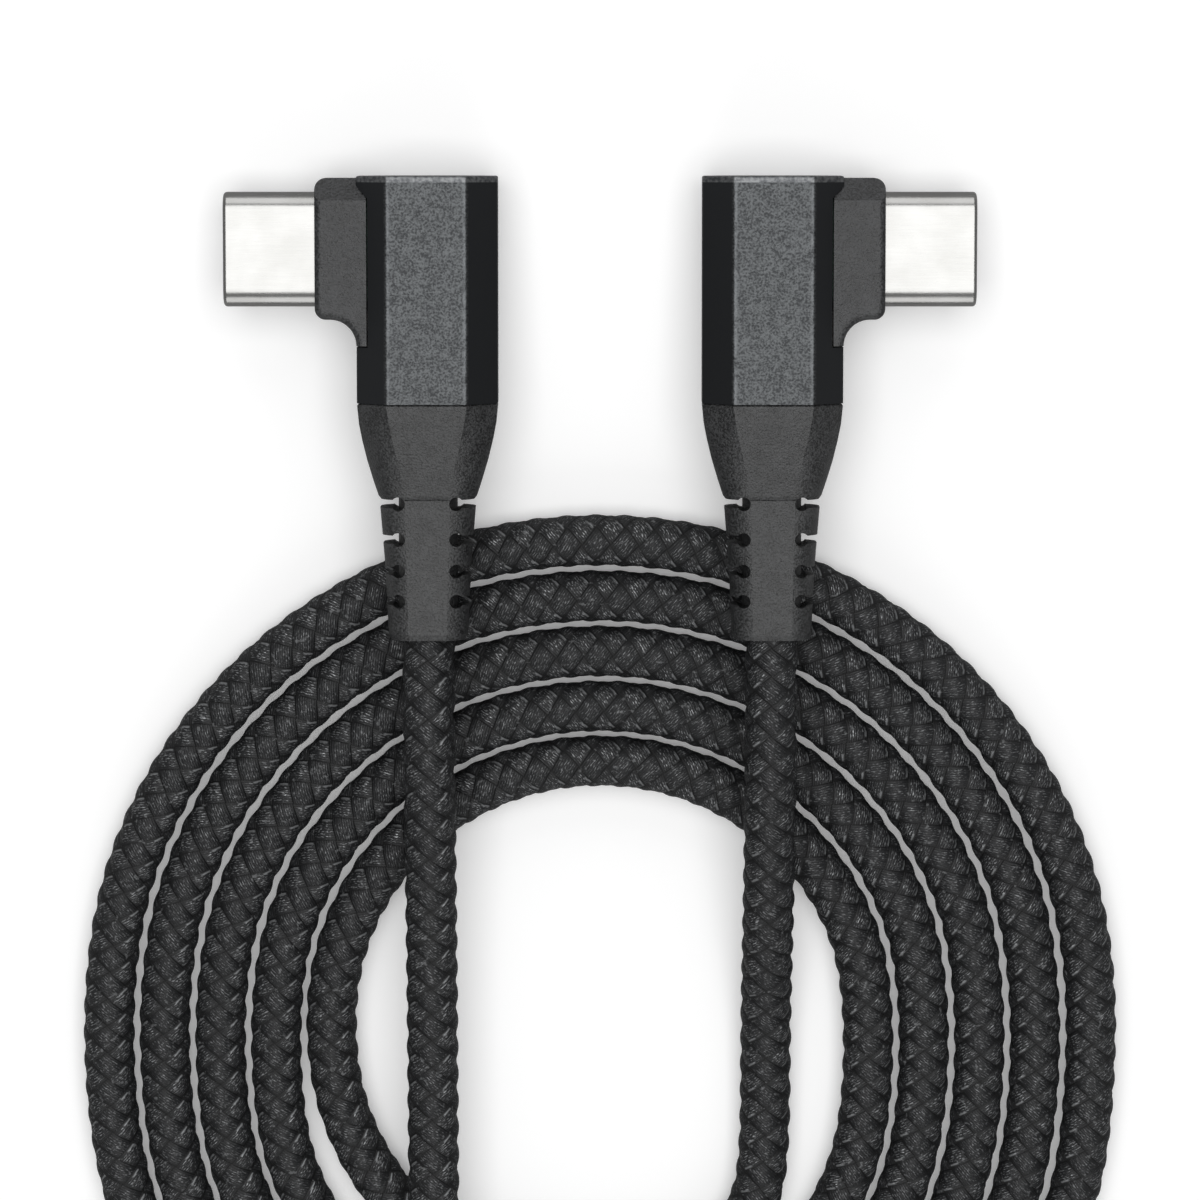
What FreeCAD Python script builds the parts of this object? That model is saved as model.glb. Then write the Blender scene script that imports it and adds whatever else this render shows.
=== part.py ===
# A charging cable: a round braided cord in a flat coil, with a right-angle plug on each end.
# Units are millimetres and +Z is up. The origin is under the middle of the two plugs.
import FreeCAD, Part
import math
import os

V = FreeCAD.Vector

# Cord and coil
CORD_DIAMETER = 3.7
CORD_RADIUS = CORD_DIAMETER / 2
LEAD_X = 12.5
COIL_CENTRE_Y = -47.7
COIL_INNER_TRACK = 20.25
COIL_PITCH = 4.2
COIL_TRACKS = 5
COIL_DROP = 4.5
COIL_LEVEL = CORD_RADIUS
LEAD_CLEARANCE = 0.4
LEAD_LEVEL = COIL_LEVEL + CORD_DIAMETER + LEAD_CLEARANCE
TURN_IN_RADIUS = 11.9
TURN_IN_DEPTH = 17.3
CLIMB_FROM_DEG = 75

# Where the outer turn leaves the coil for the left lead: its angle, and its four equal bends
PEEL_DEG = 36
PEEL_RUN = 9.44
PEEL_BENDS = 4

# Leads: the straight run out of each boot, then the places they pass, as Y and Z
BOOT_RUN = 7.4
RIGHT_LEAD_PASSES = [(-32.5, 7.55), (-40.1, 5.0), (-47.3, COIL_LEVEL)]
LEFT_LEAD_PASSES = [(-33.0, 7.4), (-42.0, 6.0), (-52.0, 5.7), (-64.0, 6.05)]

# Plug as a whole: it leans on the coil, with its top end on the surface
PLUG_TILT_DEG = 7.2
PLUG_TOP_Y = 16.62

# Housing: an eight-sided metal sleeve, closed by a cap
HOUSING_HALF_WIDTH = 5.1
HOUSING_HALF_THICKNESS = 3.5
HOUSING_FACE_HALF = 2.9
HOUSING_SIDE_HALF = 1.5
HOUSING_LENGTH = 16.4
HOUSING_WALL = 0.6
HOUSING_EDGE = 0.3
END_CAP_THICKNESS = 0.45
CAP_EDGE = 0.15

# Nose: the collar that carries the metal shell
NOSE_LEFT_X = -8.1
NOSE_RIGHT_X = -4.35
NOSE_TOP_Y = -0.15
NOSE_BOTTOM_Y = -10.35
NOSE_HALF_THICKNESS = 2.2
NOSE_SWEEP = 1.9
NOSE_CORNER = 0.8
NOSE_EDGE = 0.5
NOSE_BEVEL_LENGTH = 1.6
NOSE_BEVEL_DEPTH = 1.3
NOSE_SEAM = 0.1

# Shell of the plug: a flattened tube, open at both ends
SHELL_MOUTH_X = -14.75
SHELL_BACK_X = -5.0
SHELL_CENTRE_Y = -5.3
SHELL_WIDTH = 8.3
SHELL_HEIGHT = 2.6
SHELL_WALL = 0.3
SHELL_LIP = 0.28

# Carrier and contacts inside the shell
CARRIER_FRONT_X = -14.0
CARRIER_BACK_X = -5.5
CAVITY_BACK_X = -8.6
CAVITY_HALF_WIDTH = 3.3
CAVITY_HALF_HEIGHT = 0.75
WINDOW_FRONT_X = -13.6
WINDOW_REACH = 4.0
WINDOW_HALF_HEIGHT = 0.36
TAIL_SLOT_HALF_WIDTH = 2.95
TAIL_END_X = -4.6
CONTACT_WIDTH = 0.25
CONTACT_LOW = 0.40
CONTACT_HIGH = 0.52
CONTACT_TIP_X = -13.2
CONTACT_ROOT_X = -8.65
UPPER_CONTACT_OFFSETS = [-2.75, -1.25, -0.75, -0.25, 0.25, 1.25, 2.75]
LOWER_CONTACT_OFFSETS = [-2.75, -1.25, -0.75, 1.25, 2.75]

# Latch: a plate between the contact rows, and an arm on each side
LATCH_PLATE_HALF_WIDTH = 3.3
LATCH_PLATE_HALF = 0.08
LATCH_ARM_INNER = 3.45
LATCH_ARM_OUTER = 3.59
LATCH_ARM_HALF_HEIGHT = 0.25
LATCH_TIP_X = -13.3
LATCH_HOOK_LENGTH = 0.45
LATCH_HOOK_REACH = 0.3

# Circuit board, shield can and wires
BOARD_FRONT_X = -5.4
BOARD_BACK_X = 2.6
BOARD_LOW_Y = -9.0
BOARD_HIGH_Y = -1.6
BOARD_HALF = 0.4
BOARD_CORNER = 0.5
CHIP_LEFT_X = -2.2
CHIP_LOW_Y = -6.3
CHIP_SIZE = 2.2
CHIP_HEIGHT = 0.7
CAPACITOR_X = 1.0
CAPACITOR_STARTS = [-3.4, -5.4, -7.4]
CAPACITOR_SIZE = (0.5, 1.0, 0.5)
CAN_LEFT_X = -3.55
CAN_RIGHT_X = 3.4
CAN_LOW_Y = -9.7
CAN_HIGH_Y = -1.0
CAN_HALF = 1.9
CAN_WALL = 0.15
CAN_MOUTH_HALF_HEIGHT = 0.6
CAN_EXIT_HALF_WIDTH = 1.8
CAN_EXIT_HALF_HEIGHT = 1.3
WIRE_RADIUS = 0.35
WIRE_END_Y = -8.2
WIRE_OFFSETS = [-1.2, -0.4, 0.4, 1.2]

# Moulding round the can: its two ends, and its channel for the wires
MOULD_LOW_Y = -14.6
MOULD_HIGH_Y = -0.6
CHANNEL_HALF_WIDTH = 1.7
CHANNEL_LOW_Z = 0.3
CHANNEL_HIGH_Z = 1.2

# Boot: a cone and four rings around the cord
STUB_TOP_Y = -14.2
FERRULE_TOP_Y = -14.9
FERRULE_LOW_Y = -17.4
FERRULE_RADIUS = 2.2
BOOT_INSERT_Y = -14.75
BOOT_CONE_END = -23.4
BOOT_END = -33.6
SPINE_HALF = 1.6
SLOT_HEIGHT = 0.6
POCKET_RADIUS = 0.5
BOOT_CORE_RADIUS = 2.15
SLOT_CENTRES = [-23.65, -26.25, -28.55, -30.75]
# Sections along the boot: place, half width, half thickness, half of the flat face, half of the
# flat side, and how far the corner between them swells
CONE_SECTIONS = [(-16.4, 4.93, 3.33, 2.85, 1.45, 0.05), (-16.55, 5.08, 3.48, 2.9, 1.5, 0.05),
                 (-17.9, 4.95, 3.42, 2.7, 1.42, 0.14), (-19.1, 4.72, 3.3, 2.45, 1.3, 0.25),
                 (-20.55, 4.37, 3.13, 2.1, 1.15, 0.36), (-22.0, 3.94, 2.93, 1.8, 1.0, 0.46),
                 (-23.1, 3.58, 2.78, 1.65, 0.85, 0.5), (-23.4, 3.35, 2.65, 1.6, 0.8, 0.45)]
RING_SECTIONS = [(-23.4, 3.5, 2.72, 1.6, 0.8, 0.48), (-28.4, 3.1, 2.6, 1.5, 0.7, 0.4),
                 (-33.2, 2.88, 2.5, 1.4, 0.7, 0.38), (-33.6, 2.7, 2.35, 1.3, 0.65, 0.34)]

# Room between pieces that fit together, room round moulded pieces, and how far a cut runs past
CLEAR = 0.02
MOULD_CLEAR = 0.05
BEYOND = 1.0
WELL_OUT = 20.0


def box(x0, x1, y0, y1, z0, z1):
    """A box between two corners."""
    return Part.makeBox(x1 - x0, y1 - y0, z1 - z0, V(x0, y0, z0))


def face_from(edges):
    """A flat face bounded by edges in order."""
    return Part.Face(Part.Wire(edges))


def line(a, b):
    """A straight edge."""
    return Part.LineSegment(a, b).toShape()


def arc(a, middle, b):
    """A round edge through three points."""
    return Part.Arc(a, middle, b).toShape()


def flat_tube_solid(width, height, x0, x1):
    """A bar with rounded sides, along X, centred on the shell."""
    reach = (width - height) / 2
    radius = height / 2
    mid = SHELL_CENTRE_Y
    edges = [
        line(V(x0, mid - reach, -radius), V(x0, mid + reach, -radius)),
        arc(V(x0, mid + reach, -radius), V(x0, mid + width / 2, 0), V(x0, mid + reach, radius)),
        line(V(x0, mid + reach, radius), V(x0, mid - reach, radius)),
        arc(V(x0, mid - reach, radius), V(x0, mid - width / 2, 0), V(x0, mid - reach, -radius)),
    ]
    return face_from(edges).extrude(V(x1 - x0, 0, 0))


def eight_sided(inset, y0, y1):
    """A prism with the housing's section, drawn in by an inset."""
    w = HOUSING_HALF_WIDTH - inset
    t = HOUSING_HALF_THICKNESS - inset
    f = HOUSING_FACE_HALF - inset * 0.4
    s = HOUSING_SIDE_HALF - inset * 0.4
    corners = [(f, t), (w, s), (w, -s), (f, -t), (-f, -t), (-w, -s), (-w, s), (-f, t)]
    points = [V(x, y0, z) for x, z in corners]
    points.append(points[0])
    return Part.Face(Part.makePolygon(points)).extrude(V(0, y1 - y0, 0))


def round_bar(radius, y0, y1):
    """A round bar along Y on the cord's axis."""
    return Part.makeCylinder(radius, y1 - y0, V(0, y0, 0), V(0, 1, 0))


def soft_edges(solid, radius, wanted):
    """The solid with its wanted edges rounded."""
    edges = [edge for edge in solid.Edges if wanted(edge)]
    return solid.makeFillet(radius, edges)


def runs_along_y(edge):
    """True for an edge along Y."""
    return edge.BoundBox.XLength < 1e-6 and edge.BoundBox.ZLength < 1e-6


def lies_at_y(y):
    """A test for edges in the plane at y."""
    return lambda edge: edge.BoundBox.YLength < 1e-6 and abs(edge.BoundBox.YMin - y) < 1e-6


def nose_outline(grow):
    """The collar's outline in X and Y, as a prism, with its sweep down to the housing."""
    left = NOSE_LEFT_X - grow
    right = NOSE_RIGHT_X + grow
    top = NOSE_TOP_Y + grow
    low = NOSE_BOTTOM_Y - grow
    side = -HOUSING_HALF_WIDTH
    sweep_low = low - NOSE_SWEEP
    diagonal = NOSE_SWEEP * math.sqrt(0.5)
    corner = NOSE_CORNER
    turn = corner * (1 - math.sqrt(0.5))
    half = NOSE_HALF_THICKNESS + grow
    z = -half
    edges = [
        line(V(right, top, z), V(left + corner, top, z)),
        arc(V(left + corner, top, z), V(left + turn, top - turn, z), V(left, top - corner, z)),
        line(V(left, top - corner, z), V(left, low + corner, z)),
        arc(V(left, low + corner, z), V(left + turn, low + turn, z), V(left + corner, low, z)),
        line(V(left + corner, low, z), V(side - NOSE_SWEEP, low, z)),
        arc(V(side - NOSE_SWEEP, low, z),
            V(side - NOSE_SWEEP + diagonal, sweep_low + diagonal, z),
            V(side, sweep_low, z)),
        line(V(side, sweep_low, z), V(right, sweep_low, z)),
        line(V(right, sweep_low, z), V(right, top, z)),
    ]
    body = face_from(edges).extrude(V(0, 0, 2 * half))
    for side in (1, -1):
        corners = [V(left - BEYOND, top, side * (half - NOSE_BEVEL_DEPTH)),
                   V(left - BEYOND, top - NOSE_BEVEL_LENGTH, side * half),
                   V(left - BEYOND, top, side * half)]
        bevel = Part.Face(Part.makePolygon(corners + corners[:1]))
        body = body.cut(bevel.extrude(V(right - left + 2 * BEYOND, 0, 0)))
    return body


def make_shell():
    """The bright flattened tube that goes into the socket."""
    outer = flat_tube_solid(SHELL_WIDTH, SHELL_HEIGHT, SHELL_MOUTH_X, SHELL_BACK_X)
    lip = [e for e in outer.Edges if e.BoundBox.XLength < 1e-6 and e.BoundBox.XMin < SHELL_MOUTH_X + 1e-3]
    outer = outer.makeFillet(SHELL_LIP, lip)
    wall = 2 * SHELL_WALL
    inner = flat_tube_solid(SHELL_WIDTH - wall, SHELL_HEIGHT - wall,
                            SHELL_MOUTH_X - BEYOND, SHELL_BACK_X + BEYOND)
    return outer.cut(inner)


def make_carrier():
    """The plastic block that holds the contacts, with the cavity for the socket's tongue."""
    less = 2 * SHELL_WALL + 2 * CLEAR
    body = flat_tube_solid(SHELL_WIDTH - less, SHELL_HEIGHT - less, CARRIER_FRONT_X, CARRIER_BACK_X)
    mid = SHELL_CENTRE_Y
    cavity = box(CARRIER_FRONT_X - BEYOND, CAVITY_BACK_X, mid - CAVITY_HALF_WIDTH, mid + CAVITY_HALF_WIDTH,
                 -CAVITY_HALF_HEIGHT, CAVITY_HALF_HEIGHT)
    windows = box(WINDOW_FRONT_X, CAVITY_BACK_X, mid - WINDOW_REACH, mid + WINDOW_REACH,
                  -WINDOW_HALF_HEIGHT, WINDOW_HALF_HEIGHT)
    body = body.cut(cavity).cut(windows)
    slots = [(TAIL_SLOT_HALF_WIDTH, CONTACT_LOW - CLEAR, CONTACT_HIGH + CLEAR),
             (TAIL_SLOT_HALF_WIDTH, -CONTACT_HIGH - CLEAR, -CONTACT_LOW + CLEAR),
             (LATCH_PLATE_HALF_WIDTH + CLEAR, -LATCH_PLATE_HALF - CLEAR, LATCH_PLATE_HALF + CLEAR)]
    for half_width, low, high in slots:
        body = body.cut(box(CAVITY_BACK_X - BEYOND, CARRIER_BACK_X + BEYOND,
                            mid - half_width, mid + half_width, low, high))
    return body


def contact_strips(offsets, x0, x1, side):
    """A row of flat strips, above the middle for side 1 and below it for side -1."""
    low = min(side * CONTACT_LOW, side * CONTACT_HIGH)
    high = max(side * CONTACT_LOW, side * CONTACT_HIGH)
    strips = []
    for offset in offsets:
        y = SHELL_CENTRE_Y + offset
        strips.append(box(x0, x1, y - CONTACT_WIDTH / 2, y + CONTACT_WIDTH / 2, low, high))
    return strips


def make_contact_row(offsets, side):
    """The springy ends of one row of contacts."""
    return Part.makeCompound(contact_strips(offsets, CONTACT_TIP_X, CONTACT_ROOT_X, side))


def make_contact_tails():
    """The fixed ends of the contacts, which run through the carrier and onto the board."""
    upper = contact_strips(UPPER_CONTACT_OFFSETS, CAVITY_BACK_X, TAIL_END_X, 1)
    lower = contact_strips(LOWER_CONTACT_OFFSETS, CAVITY_BACK_X, TAIL_END_X, -1)
    return Part.makeCompound(upper + lower)


def make_latch_plate():
    """The steel plate between the two rows."""
    mid = SHELL_CENTRE_Y
    return box(CAVITY_BACK_X, CARRIER_BACK_X, mid - LATCH_PLATE_HALF_WIDTH, mid + LATCH_PLATE_HALF_WIDTH,
               -LATCH_PLATE_HALF, LATCH_PLATE_HALF)


def make_latch_arm(side):
    """One springy side arm, with the hook that holds the plug in its socket."""
    mid = SHELL_CENTRE_Y
    near = mid + side * LATCH_ARM_INNER
    far = mid + side * LATCH_ARM_OUTER
    hook = near - side * LATCH_HOOK_REACH
    half = LATCH_ARM_HALF_HEIGHT
    outline = [(CONTACT_ROOT_X, far), (LATCH_TIP_X, far), (LATCH_TIP_X, near),
               (LATCH_TIP_X + LATCH_HOOK_LENGTH / 2, hook), (LATCH_TIP_X + LATCH_HOOK_LENGTH, near),
               (CONTACT_ROOT_X, near)]
    points = [V(x, y, -half) for x, y in outline]
    points.append(points[0])
    return Part.Face(Part.makePolygon(points)).extrude(V(0, 0, 2 * half))


def make_board():
    """The small circuit board behind the contacts, without room for its tails."""
    board = box(BOARD_FRONT_X, BOARD_BACK_X, BOARD_LOW_Y, BOARD_HIGH_Y, -BOARD_HALF, BOARD_HALF)
    edges = [e for e in board.Edges if e.BoundBox.ZLength > BOARD_HALF and e.BoundBox.XMin > 0]
    return board.makeFillet(BOARD_CORNER, edges)


def make_chip():
    """The chip that tells the charger what the cable can carry."""
    return box(CHIP_LEFT_X, CHIP_LEFT_X + CHIP_SIZE, CHIP_LOW_Y, CHIP_LOW_Y + CHIP_SIZE,
               BOARD_HALF, BOARD_HALF + CHIP_HEIGHT)


def make_capacitors():
    """Three small capacitors beside the chip."""
    across, along, high = CAPACITOR_SIZE
    return Part.makeCompound([box(CAPACITOR_X, CAPACITOR_X + across, y, y + along,
                                  BOARD_HALF, BOARD_HALF + high)
                              for y in CAPACITOR_STARTS])


def make_can_half(side):
    """Half of the pressed shield can round the board."""
    low = min(0, side * CAN_HALF)
    high = max(0, side * CAN_HALF)
    wall = CAN_WALL
    body = box(CAN_LEFT_X, CAN_RIGHT_X, CAN_LOW_Y, CAN_HIGH_Y, low, high)
    inner = CAN_HALF - wall
    body = body.cut(box(CAN_LEFT_X + wall, CAN_RIGHT_X - wall, CAN_LOW_Y + wall, CAN_HIGH_Y - wall,
                        -inner, inner))
    body = body.cut(box(CAN_LEFT_X - BEYOND, CAN_LEFT_X + BEYOND,
                        BOARD_LOW_Y - MOULD_CLEAR, BOARD_HIGH_Y + MOULD_CLEAR,
                        -CAN_MOUTH_HALF_HEIGHT, CAN_MOUTH_HALF_HEIGHT))
    return body.cut(box(-CAN_EXIT_HALF_WIDTH, CAN_EXIT_HALF_WIDTH, CAN_LOW_Y - BEYOND, CAN_LOW_Y + BEYOND,
                        -CAN_EXIT_HALF_HEIGHT, CAN_EXIT_HALF_HEIGHT))


def make_wires():
    """Four insulated wires from the board to the cord."""
    z = BOARD_HALF + WIRE_RADIUS
    wires = []
    for x in WIRE_OFFSETS:
        wires.append(Part.makeCylinder(WIRE_RADIUS, WIRE_END_Y - STUB_TOP_Y, V(x, STUB_TOP_Y, z), V(0, 1, 0)))
    return Part.makeCompound(wires)


def make_inner_mould():
    """The clear plastic moulded round the shield can and the wires."""
    body = eight_sided(HOUSING_WALL + MOULD_CLEAR, MOULD_LOW_Y, MOULD_HIGH_Y)
    body = body.cut(box(-WELL_OUT, CAN_RIGHT_X + CLEAR, CAN_LOW_Y - CLEAR, CAN_HIGH_Y + CLEAR,
                        -CAN_HALF - CLEAR, CAN_HALF + CLEAR))
    body = body.cut(box(-WELL_OUT, NOSE_RIGHT_X + MOULD_CLEAR, -WELL_OUT, BEYOND, -WELL_OUT, WELL_OUT))
    body = body.cut(box(-CHANNEL_HALF_WIDTH, CHANNEL_HALF_WIDTH, STUB_TOP_Y - BEYOND, CAN_LOW_Y + BEYOND,
                        CHANNEL_LOW_Z, CHANNEL_HIGH_Z))
    return body.cut(round_bar(CORD_RADIUS + MOULD_CLEAR, STUB_TOP_Y - BEYOND, STUB_TOP_Y + CLEAR))


def make_ferrule():
    """The crimped sleeve that grips the cord."""
    outer = round_bar(FERRULE_RADIUS, FERRULE_LOW_Y, FERRULE_TOP_Y)
    return outer.cut(round_bar(CORD_RADIUS + CLEAR, FERRULE_LOW_Y - BEYOND, FERRULE_TOP_Y + BEYOND))


def make_cord_stub():
    """The end of the cord inside the boot."""
    return round_bar(CORD_RADIUS, BOOT_END, STUB_TOP_Y)


def make_nose():
    """The matt collar, swept down into the housing."""
    body = nose_outline(0)
    outer = [e for e in body.Edges
             if e.BoundBox.ZLength < 1e-6 and e.BoundBox.XMax < -HOUSING_HALF_WIDTH + 1e-6
             and e.BoundBox.YMax < NOSE_TOP_Y - NOSE_CORNER]
    body = body.makeFillet(NOSE_EDGE, outer)
    hole = flat_tube_solid(SHELL_WIDTH + 2 * CLEAR, SHELL_HEIGHT + 2 * CLEAR,
                           NOSE_LEFT_X - BEYOND, NOSE_RIGHT_X + BEYOND)
    return body.cut(hole)


def make_housing():
    """The eight-sided metal sleeve, cut out for the collar."""
    body = eight_sided(0, -HOUSING_LENGTH, -END_CAP_THICKNESS)
    body = soft_edges(body, HOUSING_EDGE, runs_along_y)
    body = body.cut(eight_sided(HOUSING_WALL, -HOUSING_LENGTH - BEYOND, BEYOND))
    return body.cut(nose_outline(NOSE_SEAM))


def make_end_cap():
    """The plate that closes the sleeve's top end."""
    plate = eight_sided(0, -END_CAP_THICKNESS, 0)
    plate = soft_edges(plate, HOUSING_EDGE, runs_along_y)
    plate = soft_edges(plate, CAP_EDGE, lies_at_y(0))
    return plate.cut(nose_outline(NOSE_SEAM))


def boot_wire(y, half_width, half_thickness, face, side, swell):
    """A section across the boot: four flats joined by swelling corners."""
    w = half_width
    t = half_thickness
    corners = [(face, t), (w, side), (w, -side), (face, -t), (-face, -t), (-w, -side), (-w, side), (-face, t)]
    edges = []
    for index, (ax, az) in enumerate(corners):
        bx, bz = corners[(index + 1) % len(corners)]
        start = V(ax, y, az)
        end = V(bx, y, bz)
        if index % 2:
            edges.append(line(start, end))
        else:
            out = V(math.copysign(t - side, ax + bx), 0, math.copysign(w - face, az + bz)).normalize()
            edges.append(arc(start, (start + end) * 0.5 + out * swell, end))
    return Part.Wire(edges)


def make_boot():
    """The moulded boot: cone, side slots between four rings, and the bore for the cord."""
    cone = Part.makeLoft([boot_wire(*section) for section in CONE_SECTIONS], True, True)
    rings = Part.makeLoft([boot_wire(*section) for section in RING_SECTIONS], True, True)
    core = round_bar(BOOT_CORE_RADIUS, BOOT_END, BOOT_CONE_END + BEYOND)
    core_cut = round_bar(BOOT_CORE_RADIUS, BOOT_END - BEYOND, BOOT_CONE_END + BEYOND)
    half = SLOT_HEIGHT / 2
    for y in SLOT_CENTRES:
        for side in (1, -1):
            inner = side * (SPINE_HALF + POCKET_RADIUS)
            outer = side * WELL_OUT
            slot = box(min(inner, outer), max(inner, outer), y - half, y + half, -WELL_OUT, WELL_OUT)
            pocket = Part.makeCylinder(POCKET_RADIUS, 2 * WELL_OUT, V(inner, y, -WELL_OUT), V(0, 0, 1))
            cutter = slot.fuse(pocket).cut(core_cut)
            rings = rings.cut(cutter)
            cone = cone.cut(cutter)
    insert = eight_sided(HOUSING_WALL + MOULD_CLEAR, -HOUSING_LENGTH, BOOT_INSERT_Y)
    body = cone.fuse([rings, core, insert]).removeSplitter()
    body = body.cut(round_bar(CORD_RADIUS + CLEAR, BOOT_END - BEYOND, 0))
    return body.cut(round_bar(FERRULE_RADIUS + CLEAR, FERRULE_LOW_Y - CLEAR, 0))


def plug_pieces():
    """Every piece of the left plug, in the plug's own frame."""
    return {
        "shell": make_shell(),
        "contact_carrier": make_carrier(),
        "upper_contacts": make_contact_row(UPPER_CONTACT_OFFSETS, 1),
        "lower_contacts": make_contact_row(LOWER_CONTACT_OFFSETS, -1),
        "contact_tails": make_contact_tails(),
        "latch_plate": make_latch_plate(),
        "near_latch_arm": make_latch_arm(-1),
        "far_latch_arm": make_latch_arm(1),
        "circuit_board": make_board(),
        "marker_chip": make_chip(),
        "capacitors": make_capacitors(),
        "upper_shield": make_can_half(1),
        "lower_shield": make_can_half(-1),
        "wires": make_wires(),
        "inner_mould": make_inner_mould(),
        "crimp_ferrule": make_ferrule(),
        "cord_stub": make_cord_stub(),
        "nose": make_nose(),
        "housing": make_housing(),
        "end_cap": make_end_cap(),
        "boot": make_boot(),
    }


TILT = math.radians(PLUG_TILT_DEG)
PLUG_LIFT = ((HOUSING_HALF_THICKNESS - CAP_EDGE) * math.cos(TILT)
             + CAP_EDGE * (1 - math.sin(TILT)))


def plug_point(x, y, z):
    """A point of the left plug's own frame, in the cable's frame."""
    world_y = PLUG_TOP_Y + y * math.cos(TILT) + z * math.sin(TILT)
    world_z = PLUG_LIFT - y * math.sin(TILT) + z * math.cos(TILT)
    return V(x - LEAD_X, world_y, world_z)


def place_left(shape):
    """The shape leant on the coil, at the left lead."""
    placed = shape.copy()
    placed.rotate(V(0, 0, 0), V(1, 0, 0), -PLUG_TILT_DEG)
    placed.translate(V(-LEAD_X, PLUG_TOP_Y, PLUG_LIFT))
    return placed


def half_circle(centre, radius, z, lower):
    """A half turn: clockwise over the top, or clockwise under the bottom."""
    sign = -1 if lower else 1
    start = V(centre[0] - sign * radius, centre[1], z)
    end = V(centre[0] + sign * radius, centre[1], z)
    return arc(start, V(centre[0], centre[1] + sign * radius, z), end)


def biarc(start, start_way, end, end_way):
    """Two tangent arcs between two points with given directions."""
    chord = end - start
    both = start_way + end_way
    a = 2 * (1 - start_way.dot(end_way))
    b = 2 * chord.dot(both)
    c = -chord.dot(chord)
    reach = (-b + math.sqrt(b * b - 4 * a * c)) / (2 * a)
    first_corner = start + start_way * reach
    last_corner = end - end_way * reach
    joint = (first_corner + last_corner) * 0.5
    return [corner_arc(start, first_corner, joint), corner_arc(joint, last_corner, end)]


def corner_arc(a, corner, b):
    """The arc that starts at a towards the corner and ends at b, away from the corner."""
    middle = (a + b) * 0.5
    to_corner = corner - middle
    half = (b - a).Length / 2
    height = to_corner.Length
    sagitta = half * math.tan(math.atan2(height, half) / 2)
    return arc(a, middle + to_corner.normalize() * sagitta, b)


def coil_path():
    """The coil's line: in from the right lead, five turns outwards, and up to the left lead."""
    z = COIL_LEVEL
    centre = (0, COIL_CENTRE_Y)
    low_y = COIL_CENTRE_Y - COIL_DROP
    low_centre_x = -COIL_PITCH / 2
    inner = COIL_INNER_TRACK
    bottom_x = LEAD_X - TURN_IN_RADIUS
    bottom_y = low_y - TURN_IN_DEPTH
    wide = bottom_x + inner
    root = math.sqrt(0.5)
    turn_y = bottom_y + TURN_IN_RADIUS
    wide_y = bottom_y + wide
    start = V(LEAD_X, turn_y + CORD_DIAMETER, z)
    edges = [line(start, V(LEAD_X, turn_y, z))]
    edges.append(arc(V(LEAD_X, turn_y, z),
                     V(bottom_x + TURN_IN_RADIUS * root, turn_y - TURN_IN_RADIUS * root, z),
                     V(bottom_x, bottom_y, z)))
    edges.append(arc(V(bottom_x, bottom_y, z),
                     V(bottom_x - wide * root, wide_y - wide * root, z),
                     V(-inner, wide_y, z)))
    edges.append(line(V(-inner, wide_y, z), V(-inner, COIL_CENTRE_Y, z)))
    for track in range(COIL_TRACKS):
        radius = inner + track * COIL_PITCH
        edges.append(half_circle(centre, radius, z, False))
        edges.append(line(V(radius, COIL_CENTRE_Y, z), V(radius, low_y, z)))
        if track < COIL_TRACKS - 1:
            edges.append(half_circle((low_centre_x, low_y), radius + COIL_PITCH / 2, z, True))
            left = radius + COIL_PITCH
            edges.append(line(V(-left, low_y, z), V(-left, COIL_CENTRE_Y, z)))
    outer = inner + (COIL_TRACKS - 1) * COIL_PITCH + COIL_PITCH / 2

    def on_bottom(degrees, height):
        """A place on the outer bottom turn."""
        angle = math.radians(degrees)
        return V(low_centre_x + outer * math.sin(angle), low_y - outer * math.cos(angle), height)

    def way_at(degrees, slope):
        """The way the cord goes at that place."""
        angle = math.radians(degrees)
        return V(-math.cos(angle), -math.sin(angle), slope).normalize()

    rise = LEAD_LEVEL - z
    half_deg = (CLIMB_FROM_DEG + PEEL_DEG) / 2
    climb_length = outer * math.radians(CLIMB_FROM_DEG - PEEL_DEG)
    begin = on_bottom(CLIMB_FROM_DEG, z)
    halfway = on_bottom(half_deg, z + rise / 2)
    halfway_way = way_at(half_deg, 2 * rise / climb_length)
    end = on_bottom(PEEL_DEG, LEAD_LEVEL)
    end_way = way_at(PEEL_DEG, 0)
    edges.append(arc(V(low_centre_x + outer, low_y, z), on_bottom((90 + CLIMB_FROM_DEG) / 2, z), begin))
    edges.extend(biarc(begin, way_at(CLIMB_FROM_DEG, 0), halfway, halfway_way))
    edges.extend(biarc(halfway, halfway_way, end, end_way))
    last = end + end_way * CORD_DIAMETER
    edges.append(line(end, last))
    return edges, start, last, end_way


def rounded_route(points):
    """Straight runs joined by tangent arcs, each as large as its two runs allow."""
    edges = []
    radii = []
    here = points[0]
    for index in range(1, len(points) - 1):
        corner = points[index]
        back = points[index - 1] - corner
        onward = points[index + 1] - corner
        cut = 0.45 * min(back.Length, onward.Length)
        turn = math.pi - back.getAngle(onward)
        radii.append(cut / math.tan(turn / 2))
        enter = corner + back.normalize() * cut
        leave = corner + onward.normalize() * cut
        edges.append(line(here, enter))
        edges.append(corner_arc(enter, corner, leave))
        here = leave
    edges.append(line(here, points[-1]))
    return edges, radii


def sweep(edges, start, way):
    """A round tube of the cord's diameter along the edges."""
    spine = Part.Wire(edges)
    ring = Part.Wire([Part.Circle(start, way, CORD_RADIUS).toShape()])
    tube = spine.makePipeShell([ring], True, False)
    expected = math.pi * CORD_RADIUS ** 2 * spine.Length
    return tube, spine.Length, tube.Volume / expected


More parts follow.
